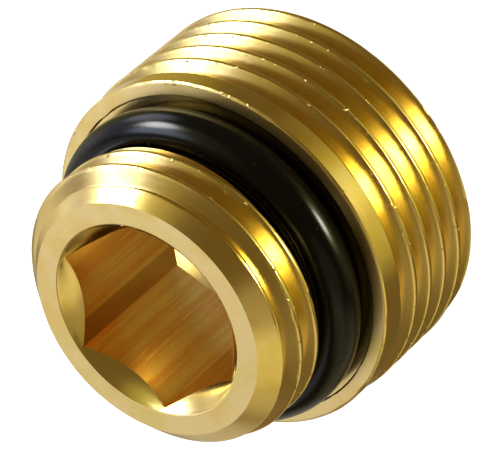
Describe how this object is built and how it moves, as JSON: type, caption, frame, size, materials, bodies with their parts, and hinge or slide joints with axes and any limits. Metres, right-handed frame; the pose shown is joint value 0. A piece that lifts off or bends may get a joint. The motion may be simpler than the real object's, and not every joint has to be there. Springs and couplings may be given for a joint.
{
  "type": "double male pipe adapter",
  "caption": "Brass double male adapter that joins a smaller and a larger pipe thread, with an internal hexagon for a key and a rubber ring that seals on the shoulder.",
  "frame": {"origin": "centre of the rear face of the large end, on which the part stands", "axes": "+Z along the thread axis from the large end to the small end; +X through a corner of the key hexagon"},
  "size_m": [0.0264, 0.0264, 0.02],
  "materials": {
    "brass": "bright machined",
    "rubber": "satin"
  },
  "bodies": {
    "root": {"adapter_body": "brass", "sealing_ring": "rubber"}
  },
  "joints": []
}
